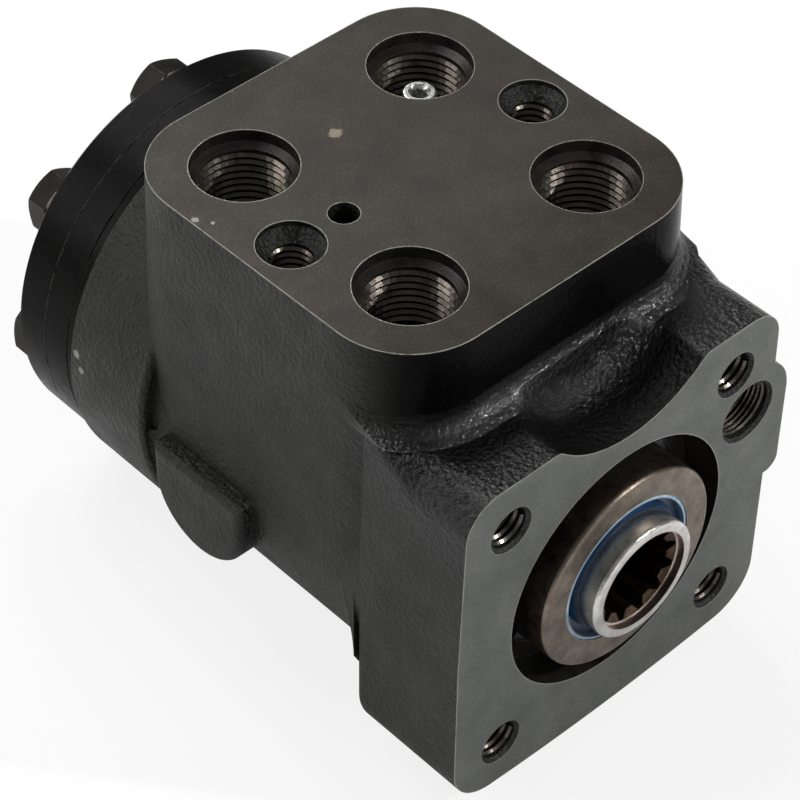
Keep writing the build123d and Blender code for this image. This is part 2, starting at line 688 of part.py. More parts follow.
def build_spool():
    body = rod(SHAFT_R, SPOOL_Y0, SPOOL_BORE_Y0)
    nose = [e for e in body.edges() if abs(e.center().Y - SPOOL_Y0) < 0.1]
    body = fillet(nose, 0.8)
    body += rod(SPOOL_R, SLEEVE_Y0 + FACE_FIT, SPOOL_Y1)
    body -= rod(SOCKET_MOUTH_R, SPOOL_Y0 - 1, SPOOL_Y0 + SOCKET_MOUTH_DEPTH)
    body -= taper(SOCKET_MOUTH_R, SOCKET_TIP_R, SPOOL_Y0 + SOCKET_MOUTH_DEPTH,
                  SPOOL_Y0 + SOCKET_MOUTH_DEPTH + 0.9)
    socket = spline_outline(SPLINE_TEETH, SOCKET_ROOT_R, SOCKET_TIP_R, 0.62, 1.72,
                            SOCKET_PHASE, inside=True)
    body -= slab(socket, SPOOL_Y0, SOCKET_Y1)
    body -= rod(SPOOL_BORE_R, SPOOL_BORE_Y0, SPOOL_Y1 + 1)
    body -= spring_slot(SPOOL_R + 1)
    body -= Pos(0, PIN_Y, 0) * Rot(0, 90, 0) * Cylinder(SPOOL_WINDOW_R, 2 * SPOOL_R + 2)
    for k in range(SPOOL_SLOT_COUNT):
        angle = 360 / SPOOL_SLOT_COUNT * k
        milled = Pos(SPOOL_R, SPOOL_SLOT_Y, 0) * Box(1.8, SPOOL_SLOT_LEN, 2.6)
        body -= Rot(0, angle, 0) * milled
    body -= pipe(SPOOL_R + 1, SPOOL_R - 0.8, SPOOL_GROOVE_Y - 2, SPOOL_GROOVE_Y + 2)
    return body


def build_cross_pin():
    pin = Pos(0, PIN_Y, 0) * Rot(0, 90, 0) * Cylinder(PIN_R, PIN_LEN)
    return chamfer(pin.edges().filter_by(GeomType.CIRCLE), 0.4)


def build_flat_springs():
    """Two straight leaves in the middle of the spring pack."""
    leaves = []
    for side in (-1, 1):
        z = side * (SPRING_T / 2 + 0.01)
        leaves.append(Pos(0, SPRING_Y, z) * Box(SPRING_LEN, SPRING_W, SPRING_T))
    return Compound(leaves)


def build_curved_springs():
    """Bowed leaves, two on each side of the straight ones."""
    leaves = []
    chord = SPRING_LEN / 2
    for side in (-1, 1):
        for layer in range(2):
            z0 = SPRING_T + 0.04 + layer * (SPRING_T + 0.02)
            low = ThreePointArc((-chord, z0 + SPRING_BOW), (0, z0), (chord, z0 + SPRING_BOW))
            high = ThreePointArc((-chord, z0 + SPRING_BOW + SPRING_T), (0, z0 + SPRING_T),
                                 (chord, z0 + SPRING_BOW + SPRING_T))
            ends = [Line(low @ 1, high @ 1), Line(high @ 0, low @ 0)]
            leaf = slab(make_face([low, high] + ends), SPRING_Y - SPRING_W / 2,
                        SPRING_Y + SPRING_W / 2)
            leaves.append(leaf if side > 0 else mirror(leaf, Plane.XY))
    return Compound(leaves)


# ============================================================ metering set
def lobe_angles():
    return [SET_PHASE + 360 / LOBE_COUNT * k for k in range(LOBE_COUNT)]


def star_outline():
    """Rotor outline: a curve kept one lobe radius inside the path that the
    ring's lobe centres trace round the rotor."""
    teeth = LOBE_COUNT - 1
    inset = LOBE_R + LOBE_CLEARANCE
    points = []
    for k in range(teeth * STAR_POINTS):
        t = 2 * math.pi * k / (teeth * STAR_POINTS)
        x = LOBE_PITCH_R * math.cos(t) + ECCENTRIC * math.cos(LOBE_COUNT * t)
        y = LOBE_PITCH_R * math.sin(t) + ECCENTRIC * math.sin(LOBE_COUNT * t)
        dx = -LOBE_PITCH_R * math.sin(t) - LOBE_COUNT * ECCENTRIC * math.sin(LOBE_COUNT * t)
        dy = LOBE_PITCH_R * math.cos(t) + LOBE_COUNT * ECCENTRIC * math.cos(LOBE_COUNT * t)
        size = math.hypot(dx, dy)
        points.append((x - inset * dy / size, y + inset * dx / size))
    return make_face(Spline(*points, periodic=True))


def build_star():
    ecc_x, ecc_z = star_centre()
    outline = Pos(ecc_x, ecc_z) * Rot(0, 0, SET_PHASE) * star_outline()
    body = slab(outline, RING_Y + FACE_FIT, COVER_Y - FACE_FIT)
    hub = Pos(ecc_x, ecc_z) * spline_outline(SPLINE_TEETH, STAR_ROOT_R, STAR_TIP_R, 0.66, 1.55,
                                             0, inside=True)
    return body - slab(hub, RING_Y - 1, COVER_Y + 1)


def star_centre():
    return on_circle(ECCENTRIC, SET_PHASE + 180)


def build_gear_ring():
    body = rod(SET_R, RING_Y, COVER_Y)
    body = chamfer(body.edges().filter_by(GeomType.CIRCLE), RIM_CHAMFER)
    cavity = rod(POCKET_R, RING_Y - 1, COVER_Y + 1)
    for angle in lobe_angles():
        x, z = on_circle(LOBE_PITCH_R, angle)
        cavity -= rod(LOBE_R, RING_Y - 2, COVER_Y + 2, x, z)
    body -= cavity
    return body - screw_holes(RING_Y, COVER_Y)


def screw_holes(y0, y1):
    holes = []
    for angle in lobe_angles():
        x, z = on_circle(SCREW_CIRCLE_R, angle)
        holes.append(rod(SCREW_HOLE_R, y0 - 1, y1 + 1, x, z))
    return Part() + holes


def build_spacer_plate():
    body = rod(SET_R, SPACER_Y, RING_Y)
    body = chamfer(body.edges().filter_by(GeomType.CIRCLE), RIM_CHAMFER)
    body -= rod(SPACER_BORE_R, SPACER_Y - 1, RING_Y + 1)
    for k in range(LOBE_COUNT):
        x, z = on_circle(CHANNEL_PITCH_R, SET_PHASE + 360 / LOBE_COUNT * (k + 0.5))
        body -= rod(CHANNEL_R, SPACER_Y - 1, RING_Y + 1, x, z)
    body -= rear_seal_groove(RING_Y, -1)
    return body - screw_holes(SPACER_Y, RING_Y)


def build_end_cover():
    body = rod(SET_R, COVER_Y, COVER_BACK)
    back = [e for e in body.edges() if abs(e.center().Y - COVER_BACK) < 0.1]
    body = chamfer(back, 0.8)
    body -= rear_seal_groove(COVER_Y, 1)
    return body - screw_holes(COVER_Y, COVER_BACK)


def set_seal(y):
    """Face seal ring lying in its groove, just short of the joint face."""
    return o_ring(SET_SEAL_R, SET_SEAL_SECTION - SET_SEAL_SLACK, y)


def build_drive_spacer():
    """Puck behind the drive link, in the hub of the rotor."""
    x, z = star_centre()
    puck = rod(PUCK_R, COVER_Y - FACE_FIT - PUCK_T, COVER_Y - FACE_FIT, x, z)
    return chamfer(puck.edges().filter_by(GeomType.CIRCLE), 0.2)


# ============================================================== drive link
def build_drive_link():
    """Forked at the cross pin and crowned at the rotor; it leans between them.
    It is built straight along the shaft axis with the pin at the pivot."""
    body = rod(DRIVE_R, DRIVE_FORK_Y1, DRIVE_Y1)
    body += rod(DRIVE_FORK_R, DRIVE_Y0, DRIVE_FORK_Y1)
    body += taper(DRIVE_FORK_R, DRIVE_R, DRIVE_FORK_Y1, DRIVE_FORK_Y1 + 4)
    head = slab(
        spline_outline(SPLINE_TEETH, DRIVE_ROOT_R, DRIVE_TIP_R, 1.35, 0.55, 0, inside=False),
        DRIVE_HEAD_Y0, DRIVE_Y1,
    )
    head_mid = (DRIVE_HEAD_Y0 + DRIVE_Y1) / 2
    crown = Pos(0, head_mid, 0) * Sphere(DRIVE_TIP_R + 0.05)
    body += head & crown
    slot_end = PIN_Y + PIN_R + 0.4
    length = slot_end - DRIVE_Y0 + 2
    slot = Pos(0, slot_end - length / 2, 0) * Box(3 * DRIVE_FORK_R, length, DRIVE_SLOT)
    body -= slot
    pivot = Axis((0, PIN_Y, 0), (1, 0, 0))
    return body.rotate(pivot, -DRIVE_TILT)


# ============================================================= cap screws
def build_cap_screws():
    screws = []
    head_y = COVER_BACK + WASHER_T
    for angle in lobe_angles():
        x, z = on_circle(SCREW_CIRCLE_R, angle)
        shank = rod(SCREW_R, SCREW_END_Y, head_y + 1, x, z)
        hexagon = Pos(x, z) * Rot(0, 0, angle + 12) * RegularPolygon(
            SCREW_HEAD_AF / 2, 6, major_radius=False)
        head = slab(hexagon, head_y, head_y + SCREW_HEAD_T)
        top = head_y + SCREW_HEAD_T
        dome = taper(SCREW_HEAD_AF / 2 + 2.9, SCREW_HEAD_AF / 2 - 0.2, top - 1.8, top, x, z)
        keep = dome + rod(SCREW_HEAD_AF, head_y - 1, top - 1.8, x, z)
        screws.append(shank + (head & keep))
    return Compound(screws)


def build_screw_washers():
    washers = []
    for angle in lobe_angles():
        x, z = on_circle(SCREW_CIRCLE_R, angle)
        washers.append(pipe(WASHER_R, SCREW_R + 0.1, COVER_BACK, COVER_BACK + WASHER_T, x, z))
    return Compound(washers)


# ============================================================ check valve
def build_check_valve_body():
    """Bush in the supply port: hexagon socket above, ball chamber below."""
    y = PASSAGE_Y["right_rear"]
    floor = PORT_FACE_Z - PORT_DEPTH
    body = post(CHECK_STEM_R, floor - 1, CHECK_TOP_Z, PORT_X, y)
    top = [e for e in body.edges() if abs(e.center().Z - CHECK_TOP_Z) < 0.1]
    body = fillet(top, 0.5)
    body += post(CHECK_THREAD_R, CHECK_SEAT_Z + 0.05, floor, PORT_X, y)
    body += post(CHECK_TUBE_R, CHECK_END_Z, CHECK_SEAT_Z + 1, PORT_X, y)
    hexagon = RegularPolygon(SOCKET_AF / 2, 6, major_radius=False)
    body -= Pos(PORT_X, y, CHECK_TOP_Z - 6) * extrude(hexagon, amount=8)
    body -= sink(2.2, 1.2, CHECK_TOP_Z, 1.0, PORT_X, y)
    body -= post(BALL_SEAT_R, CHECK_SEAT_Z - 1, CHECK_TOP_Z - 5, PORT_X, y)
    stop_z = ball_stop_z()
    body -= post(BALL_R + 0.1, stop_z, CHECK_SEAT_Z, PORT_X, y)
    body -= post(BALL_STOP_R, CHECK_END_Z - 1, stop_z + 1, PORT_X, y)
    side = Rot(0, 90, 0) * Cylinder(0.9, 3 * CHECK_TUBE_R)
    for turn in (45, 135):
        body -= Pos(PORT_X, y, stop_z + 1.4) * Rot(0, 0, turn) * side
    return body


def ball_centre_z():
    """Height of the ball's centre while it closes the seat."""
    return CHECK_SEAT_Z - math.sqrt(BALL_R ** 2 - BALL_SEAT_R ** 2) - SEAT_FIT


def ball_stop_z():
    """Ledge that the ball drops on when it is open."""
    dip = math.sqrt(BALL_R ** 2 - BALL_STOP_R ** 2)
    return ball_centre_z() - BALL_LIFT - dip - SEAT_FIT


def build_check_ball():
    return Pos(PORT_X, PASSAGE_Y["right_rear"], ball_centre_z()) * Sphere(BALL_R)


# =========================================================== relief valve
def build_relief_screw():
    """Plug with a hexagon socket; it sets the load on the relief spring."""
    body = rod(RELIEF_THREAD_R - SEAT_FIT, RELIEF_SCREW_Y0, RELIEF_SCREW_Y1, RELIEF_X, RELIEF_Z)
    hexagon = Pos(RELIEF_X, RELIEF_Z) * RegularPolygon(2.5, 6, major_radius=False)
    return body - slab(hexagon, RELIEF_SCREW_Y0 - 1, RELIEF_SCREW_Y0 + 4)


def build_relief_seat():
    body = rod(RELIEF_CHAMBER_R - SEAT_FIT, RELIEF_SEAT_Y0, RELIEF_CHAMBER_Y1, RELIEF_X, RELIEF_Z)
    return body - rod(RELIEF_SEAT_HOLE_R, RELIEF_SEAT_Y0 - 1, RELIEF_CHAMBER_Y1 + 1,
                      RELIEF_X, RELIEF_Z)


def poppet_cone_y():
    """Where the cone starts, so that its flank just meets the edge of the seat."""
    slope = (POPPET_R - POPPET_TIP_R) / POPPET_CONE_LEN
    return RELIEF_SEAT_Y0 - (POPPET_R - RELIEF_SEAT_HOLE_R + SEAT_FIT) / slope


def build_relief_poppet():
    """Cone that closes the seat, with a collar and a stem for the spring."""
    cone_y = poppet_cone_y()
    collar_y = cone_y - POPPET_COLLAR_T
    body = taper(POPPET_R, POPPET_TIP_R, cone_y, cone_y + POPPET_CONE_LEN, RELIEF_X, RELIEF_Z)
    body += rod(POPPET_COLLAR_R, collar_y, cone_y, RELIEF_X, RELIEF_Z)
    return body + rod(POPPET_STEM_R, collar_y - POPPET_LEN, cone_y, RELIEF_X, RELIEF_Z)


def build_relief_spring():
    start = RELIEF_SCREW_Y1 + SPRING_WIRE_R
    end = poppet_cone_y() - POPPET_COLLAR_T - SPRING_WIRE_R
    length = end - start
    path = Helix(length / SPRING_TURNS, length, SPRING_MEAN_R)
    wire = Plane(path @ 0, z_dir=path % 0) * Circle(SPRING_WIRE_R)
    coil = sweep(wire, path, is_frenet=True)
    return Pos(RELIEF_X, start, RELIEF_Z) * Rot(-90, 0, 0) * coil


# ================================================================== export
def save(name, shape):
    """One file for each named piece."""
    shape.label = name
    export_step(shape, f"parts/{name}.step")
    box = shape.bounding_box()
    print(f"{name:18s} solids {len(shape.solids()):2d}  volume {shape.volume:10.1f}  "
          f"y {box.min.Y:7.2f} to {box.max.Y:7.2f}")


PIECES = {
    "housing": build_housing,
    "gland_bushing": build_gland,
    "retaining_ring": build_retaining_ring,
    "dust_seal": build_dust_seal,
    "shaft_seal": build_shaft_seal,
    "gland_o_ring": lambda: o_ring(GLAND_R - GLAND_RING_SECTION, GLAND_RING_SECTION - 0.05,
                                   GLAND_RING_Y),
    "front_race": build_front_race,
    "needle_bearing": build_needle_bearing,
    "rear_race": build_rear_race,
    "control_sleeve": build_sleeve,
    "control_spool": build_spool,
    "cross_pin": build_cross_pin,
    "flat_springs": build_flat_springs,
    "curved_springs": build_curved_springs,
    "drive_link": build_drive_link,
    "spacer_plate": build_spacer_plate,
    "gear_ring": build_gear_ring,
    "rotor": build_star,
    "drive_spacer": build_drive_spacer,
    "end_cover": build_end_cover,
    "housing_seal": lambda: set_seal(REAR_Y - SET_SEAL_SECTION),
    "spacer_seal": lambda: set_seal(RING_Y - SET_SEAL_SECTION),
    "cover_seal": lambda: set_seal(COVER_Y + SET_SEAL_SECTION),
    "cap_screws": build_cap_screws,
    "screw_washers": build_screw_washers,
    "check_valve_body": build_check_valve_body,
    "check_ball": build_check_ball,
    "relief_screw": build_relief_screw,
    "relief_spring": build_relief_spring,
    "relief_poppet": build_relief_poppet,
    "relief_seat": build_relief_seat,
}

for piece_name, build in PIECES.items():
    save(piece_name, build())
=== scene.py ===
# %% [markdown]
# # Orbital steering unit
#
# A steering unit is a cast iron valve body with a round stack of plates on its back.
# The construction model already gives every piece its true shape and place. This lesson
# gives each surface its finish: cast skin, machined faces, ground steel, rubber. It also
# adds what is too fine for the construction model, such as the threads in the holes.

# %% Load the frame
import math

import bmesh
import bpy
from mathutils import Matrix, Vector


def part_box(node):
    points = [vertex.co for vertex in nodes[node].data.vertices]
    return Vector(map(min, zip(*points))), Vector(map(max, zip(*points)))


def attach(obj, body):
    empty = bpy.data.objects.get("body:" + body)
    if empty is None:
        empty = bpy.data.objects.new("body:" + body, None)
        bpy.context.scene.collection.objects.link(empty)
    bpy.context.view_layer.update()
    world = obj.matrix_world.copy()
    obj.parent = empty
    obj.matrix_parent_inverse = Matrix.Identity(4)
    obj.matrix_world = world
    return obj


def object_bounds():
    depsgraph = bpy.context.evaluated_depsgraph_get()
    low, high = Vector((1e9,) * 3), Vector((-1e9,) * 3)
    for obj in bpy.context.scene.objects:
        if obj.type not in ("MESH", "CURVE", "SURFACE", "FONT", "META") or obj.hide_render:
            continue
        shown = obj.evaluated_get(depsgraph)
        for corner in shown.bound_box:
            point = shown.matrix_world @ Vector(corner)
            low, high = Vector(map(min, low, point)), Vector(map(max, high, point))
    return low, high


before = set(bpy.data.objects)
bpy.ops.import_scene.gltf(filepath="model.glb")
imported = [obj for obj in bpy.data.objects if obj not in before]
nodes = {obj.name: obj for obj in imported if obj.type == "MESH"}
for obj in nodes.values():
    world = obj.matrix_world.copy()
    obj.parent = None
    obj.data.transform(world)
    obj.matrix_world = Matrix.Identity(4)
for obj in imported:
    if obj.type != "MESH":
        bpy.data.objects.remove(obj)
bounds_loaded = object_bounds()
MM = 0.001

# %% [markdown]
# ## Places on the body
#
# Finishes and threads need to know where the machined places are. They are given in
# millimetres, the unit a maker reads off a drawing, and turned into metres once, when a
# mesh is made. Heights of faces come from the frame itself, so they can't drift apart
# from the construction model.

# %% Places in millimetres
PORT_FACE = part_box("housing")[1].z / MM
PORT_X, PORT_MID_Y, PORT_HALF_PITCH = 22.1, 56.4, 22.2
PORT_R, PORT_MOUTH_R = 8.9, 10.33
PORT_FLOOR = PORT_FACE - 17.0
PORT_THREAD_TOP = PORT_FACE - 3.5
FACE_HOLE_X, FACE_HOLE_R = 30.3, 4.25
FLANGE_HOLE = 82.55 / 2 / math.sqrt(2)
FLANGE_HOLE_R = 4.25
RELIEF_X, RELIEF_Z, RELIEF_R = 34.0, 16.4, 6.35
RECESS_R = 27.74
SPLINE_R = 10.35
TOOTH_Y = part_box("control_spool")[0].y / MM + 1.5
print("port face at", round(PORT_FACE, 2), "mm")

# %% [markdown]
# ## A small kit for finishes
#
# A finish is a tree of nodes, and building one by hand repeats the same few moves: make a
# node, set its values, join it up. The Finish class keeps those moves short. It always
# measures positions in millimetres on the object, so grain keeps its size wherever the
# piece goes, and the pattern rides along when the piece turns.

# %% The Finish class
class Finish:
    """One material, with short methods for the nodes it is made of."""

    def __init__(self, name):
        self.material = bpy.data.materials.new(name)
        self.material.use_nodes = True
        self.tree = self.material.node_tree
        self.shader = self.tree.nodes["Principled BSDF"]
        coords = self.tree.nodes.new("ShaderNodeTexCoord")
        to_mm = self.tree.nodes.new("ShaderNodeVectorMath")
        to_mm.operation = "SCALE"
        to_mm.inputs["Scale"].default_value = 1 / MM
        self.join(coords.outputs["Object"], to_mm.inputs[0])
        self.place = to_mm.outputs[0]
        split = self.tree.nodes.new("ShaderNodeSeparateXYZ")
        self.join(self.place, split.inputs[0])
        self.x, self.y, self.z = split.outputs

    def join(self, source, target):
        self.tree.links.new(source, target)

    def feed(self, socket, value):
        """Join a socket to an output, or set it to a plain value."""
        if isinstance(value, bpy.types.NodeSocket):
            self.join(value, socket)
        elif isinstance(value, tuple):
            socket.default_value = (*value, 1.0)[:4]
        else:
            socket.default_value = value

    def calc(self, operation, a, b=0.0):
        n = self.tree.nodes.new("ShaderNodeMath")
        n.operation = operation
        self.feed(n.inputs[0], a)
        self.feed(n.inputs[1], b)
        return n.outputs[0]

    def noise(self, size, detail=3.0, roughness=0.55, stretch=None):
        """Cloudy noise whose blobs are about size millimetres across."""
        n = self.tree.nodes.new("ShaderNodeTexNoise")
        n.inputs["Scale"].default_value = 1 / size
        n.inputs["Detail"].default_value = detail
        n.inputs["Roughness"].default_value = roughness
        source = self.place
        if stretch is not None:
            scaled = self.tree.nodes.new("ShaderNodeVectorMath")
            scaled.operation = "MULTIPLY"
            self.join(self.place, scaled.inputs[0])
            scaled.inputs[1].default_value = stretch
            source = scaled.outputs[0]
        self.join(source, n.inputs["Vector"])
        return n.outputs["Fac"]

    def cells(self, size):
        """Distance to scattered points about size millimetres apart."""
        n = self.tree.nodes.new("ShaderNodeTexVoronoi")
        n.inputs["Scale"].default_value = 1 / size
        self.join(self.place, n.inputs["Vector"])
        return n.outputs["Distance"]

    def spread(self, value, low, high, to_low=0.0, to_high=1.0):
        """Carry a value from one range to another, held at both ends."""
        n = self.tree.nodes.new("ShaderNodeMapRange")
        self.feed(n.inputs["Value"], value)
        n.inputs["From Min"].default_value = low
        n.inputs["From Max"].default_value = high
        n.inputs["To Min"].default_value = to_low
        n.inputs["To Max"].default_value = to_high
        return n.outputs["Result"]

    def blend(self, factor, first, second):
        """Mix two colours."""
        n = self.tree.nodes.new("ShaderNodeMix")
        n.data_type = "RGBA"
        self.feed(n.inputs[0], factor)
        self.feed(n.inputs[6], first)
        self.feed(n.inputs[7], second)
        return n.outputs[2]

    def shade(self, color, amount):
        """Make a colour lighter or darker by a factor."""
        n = self.tree.nodes.new("ShaderNodeVectorMath")
        n.operation = "SCALE"
        self.feed(n.inputs[0], color)
        self.feed(n.inputs["Scale"], amount)
        return n.outputs[0]

    def level(self, factor, first, second):
        """Mix two numbers."""
        n = self.tree.nodes.new("ShaderNodeMix")
        self.feed(n.inputs[0], factor)
        self.feed(n.inputs[2], first)
        self.feed(n.inputs[3], second)
        return n.outputs[0]

    def away(self, a, b):
        """Distance of a point from a centre, from its two offsets."""
        return self.calc("SQRT", self.calc("ADD", self.calc("POWER", a, 2), self.calc("POWER", b, 2)))

    def edge(self, radius):
        """1 on sharp edges, fading to 0 on flat metal."""
        soft = self.tree.nodes.new("ShaderNodeBevel")
        soft.samples = 6
        soft.inputs["Radius"].default_value = radius * MM
        plain = self.tree.nodes.new("ShaderNodeNewGeometry")
        dot = self.tree.nodes.new("ShaderNodeVectorMath")
        dot.operation = "DOT_PRODUCT"
        self.join(soft.outputs[0], dot.inputs[0])
        self.join(plain.outputs["Normal"], dot.inputs[1])
        return self.spread(dot.outputs["Value"], 0.97, 0.80)

    def spot(self, centre, radius, ragged=0.5):
        """1 inside a ragged patch round a point, 0 outside it."""
        n = self.tree.nodes.new("ShaderNodeVectorMath")
        n.operation = "DISTANCE"
        self.join(self.place, n.inputs[0])
        n.inputs[1].default_value = centre
        wobble = self.calc("MULTIPLY", self.noise(radius * 0.5, 4, 0.7), ragged * 2 * radius)
        reach = self.calc("ADD", n.outputs["Value"], wobble)
        return self.spread(reach, radius * (1.1 + ragged), radius * (0.8 + ragged))

    def relief(self, height, depth, strength=1.0):
        """Bump from a height between 0 and 1 that stands for depth millimetres."""
        n = self.tree.nodes.new("ShaderNodeBump")
        self.join(height, n.inputs["Height"])
        n.inputs["Distance"].default_value = depth * MM
        self.feed(n.inputs["Strength"], strength)
        self.join(n.outputs[0], self.shader.inputs["Normal"])

    def look(self, color, metal, rough):
        self.feed(self.shader.inputs["Base Color"], color)
        self.feed(self.shader.inputs["Metallic"], metal)
        self.feed(self.shader.inputs["Roughness"], rough)
        return self.material


def dress(name, material):
    """Give a frame node its finish."""
    slots = nodes[name].data.materials
    slots.clear()
    slots.append(material)


# %% [markdown]
# ## The casting
#
# The housing is one piece with two skins. Most of it is rough cast iron under thin black
# oil paint. Its faces and bores were cut afterwards, so there bare grey iron shows. It is
# painted darker in the bores as painted shade, and paler on the flange face, partly as a
# painted reflection. One material can hold both: masks made from positions say which skin a
# point has. Painting separate objects would also work, but it would cut the casting apart.
# Oil gathers in the hollow between the ears and along the foot of the port block, so those
# are glossier. The front hollow is also painted near black as painted shade.

# %% Casting finish
def machined_masks(f):
    """Where the casting was cut: port face, flange face, ports and recess."""
    on_top = f.spread(f.z, PORT_FACE - 0.15, PORT_FACE - 0.05)
    on_flange = f.spread(f.y, 0.15, 0.05)
    side_x = f.calc("SUBTRACT", f.calc("ABSOLUTE", f.x), PORT_X)
    from_mid = f.calc("ABSOLUTE", f.calc("SUBTRACT", f.y, PORT_MID_Y))
    side_y = f.calc("SUBTRACT", from_mid, PORT_HALF_PITCH)
    port = f.spread(f.away(side_x, side_y), PORT_MOUTH_R + 0.3, PORT_MOUTH_R + 0.1)
    port = f.calc("MULTIPLY", port, f.spread(f.z, PORT_FLOOR - 1, PORT_FLOOR - 0.5))
    recess = f.spread(f.away(f.x, f.z), RECESS_R + 0.3, RECESS_R + 0.1)
    recess = f.calc("MULTIPLY", recess, f.spread(f.y, 21.0, 20.0))
    bores = f.calc("MAXIMUM", port, recess)
    return on_top, on_flange, bores


def casting_finish():
    f = Finish("cast iron, oiled black")
    on_top, on_flange, bores = machined_masks(f)
    faces = f.calc("MAXIMUM", on_top, on_flange)
    machined = f.calc("MAXIMUM", faces, bores)
    wet_and_shaded = f.calc("MULTIPLY", f.spread(f.y, 32.0, 20.0), f.spread(f.z, 22.0, 36.0))
    wall = f.calc("MULTIPLY", f.spread(f.y, 38.0, 22.0), f.spread(f.z, 42.0, 46.0))
    foot = f.calc("MULTIPLY", f.spread(f.z, 39.5, 41.0), f.spread(f.z, 44.5, 42.5))
    foot = f.calc("MULTIPLY", foot, f.spread(f.y, 30.0, 24.0))

    cast = f.blend(f.spread(f.noise(16, 4), 0.35, 0.68), CAST_DARK, CAST_LIGHT)
    # Painted shade: the oily hollow at the front is painted near black, besides being glossier.
    cast = f.blend(wet_and_shaded, cast, CAST_WET_SHADE)
    specks = f.spread(f.noise(0.7, 2, 0.7), 0.70, 0.78)
    cast = f.blend(f.calc("MULTIPLY", specks, 0.3), cast, SAND_SPECK)
    iron_top = f.blend(f.spread(f.noise(9, 5, 0.6), 0.3, 0.7), *IRON_TOP)
    # The flange face is painted paler than the port face: its own grey-green tone plus a painted
    # reflection.
    iron_flange_and_reflection = f.blend(f.spread(f.noise(11, 5, 0.6), 0.3, 0.7), *IRON_FLANGE_AND_REFLECTION)
    # Painted shade: the bores and the recess are painted darker than the cut faces.
    iron_bore_shaded = f.blend(f.spread(f.noise(4, 4), 0.3, 0.7), *IRON_BORE_SHADED)
    iron = f.blend(on_flange, iron_bore_shaded, iron_flange_and_reflection)
    iron = f.blend(on_top, iron, iron_top)
    color = f.blend(machined, cast, iron)
    grit = f.spread(f.noise(0.5, 3, 0.7), 0.35, 0.65, 0.80, 1.20)
    color = f.shade(color, f.level(faces, 1.0, grit))

    # Pale edges near the cut faces: partly wear, partly a painted edge highlight.
    pale_edge = f.calc("MULTIPLY", f.edge(0.45), f.spread(f.noise(3, 4, 0.7), 0.26, 0.48))
    near_top = f.spread(f.z, PORT_FACE - 0.8, PORT_FACE - 0.4)
    near_cut = f.calc("MAXIMUM", near_top, f.spread(f.y, 0.8, 0.4))
    pale_edge = f.calc("MULTIPLY", pale_edge, f.calc("MAXIMUM", near_cut, 0.10))
    color = f.blend(pale_edge, color, WORN_AND_HIGHLIT_IRON)
    for centre, radius, tint in KNOCKS:
        color = f.blend(f.calc("MULTIPLY", f.spot(centre, radius, 0.9), 0.75), color, tint)

    dry = f.spread(f.noise(7, 4), 0.35, 0.7, 0.36, 0.50)
    gloss = f.level(wet_and_shaded, dry, f.level(foot, 0.20, 0.11))
    cut = f.spread(f.noise(1.1, 4, 0.65), 0.3, 0.7, 0.40, 0.56)
    cut = f.level(bores, cut, 0.27)
    sand = f.calc("MULTIPLY", f.noise(0.75, 3, 0.6), 0.70)
    pebbles = f.calc("MULTIPLY", f.cells(1.15), 0.35)
    grain = f.calc("ADD", f.calc("ADD", sand, pebbles), f.calc("MULTIPLY", f.noise(4.0, 2), 0.25))
    fine = f.calc("MULTIPLY", f.noise(0.35, 2), 0.10)
    grain = f.level(wall, grain, f.calc("MULTIPLY", grain, 0.12))
    grain = f.level(foot, grain, f.calc("MULTIPLY", grain, 0.75))
    f.relief(f.level(machined, grain, fine), 0.62, 1.0)
    shine = f.level(foot, f.level(wet_and_shaded, 0.27, 0.34), 0.75)
    f.feed(f.shader.inputs["Specular IOR Level"], f.level(wall, shine, 0.03))
    return f.look(color, f.level(machined, 0.0, 0.35), f.level(machined, gloss, cut))


CAST_DARK, CAST_LIGHT = (0.0075, 0.0079, 0.0066), (0.0175, 0.0185, 0.0148)
# Near black for the front hollow: painted shade as well as oil.
CAST_WET_SHADE = (0.0020, 0.0020, 0.0020)
IRON_TOP = (0.034, 0.030, 0.025), (0.052, 0.046, 0.038)
# Flange face iron: its own tone, brightened as a painted reflection.
IRON_FLANGE_AND_REFLECTION = (0.085, 0.090, 0.083), (0.135, 0.140, 0.130)
# Darker iron for the bores: painted shade in the holes.
IRON_BORE_SHADED = (0.010, 0.0085, 0.007), (0.035, 0.030, 0.025)
TAN, PALE = (0.30, 0.24, 0.18), (0.34, 0.34, 0.30)
# Pale edge iron: wear plus a painted edge highlight.
WORN_AND_HIGHLIT_IRON, SAND_SPECK = (0.46, 0.44, 0.38), (0.13, 0.13, 0.11)
KNOCKS = [
    ((-3.5, 74.4, 60.0), 1.3, TAN),
    ((-38.6, 73.0, 60.0), 0.7, PALE),
    ((-36.8, 70.2, 60.0), 0.4, PALE),
    ((-43.7, 106.4, 6.8), 0.9, PALE),
    ((-44.1, 104.8, 3.6), 0.8, PALE),
]
dress("housing", casting_finish())
print("casting dressed")

# %% [markdown]
# ## Painted stack
#
# The plates of the metering set are turned steel with smooth satin black paint, so there
# is no cast grain, only a slight ripple in the sheen, worn thin along the rims. The same
# recipe serves the screws, browner and with more wear on their corners.

# %% Smooth dark finishes
def smooth_black(name, dark, light, rough_low, rough_high, wear, shine):
    f = Finish(name)
    color = f.blend(f.spread(f.noise(6, 4), 0.35, 0.7), dark, light)
    pale_edge = f.calc("MULTIPLY", f.edge(0.35), f.spread(f.noise(2.5, 3, 0.7), 0.36, 0.6))
    color = f.blend(f.calc("MULTIPLY", pale_edge, wear), color, (0.30, 0.29, 0.25))
    rough = f.spread(f.noise(3, 4, 0.6), 0.3, 0.7, rough_low, rough_high)
    f.relief(f.noise(0.8, 3), 0.06, 0.5)
    f.shader.inputs["Specular IOR Level"].default_value = shine
    return f.look(color, 0.0, rough)


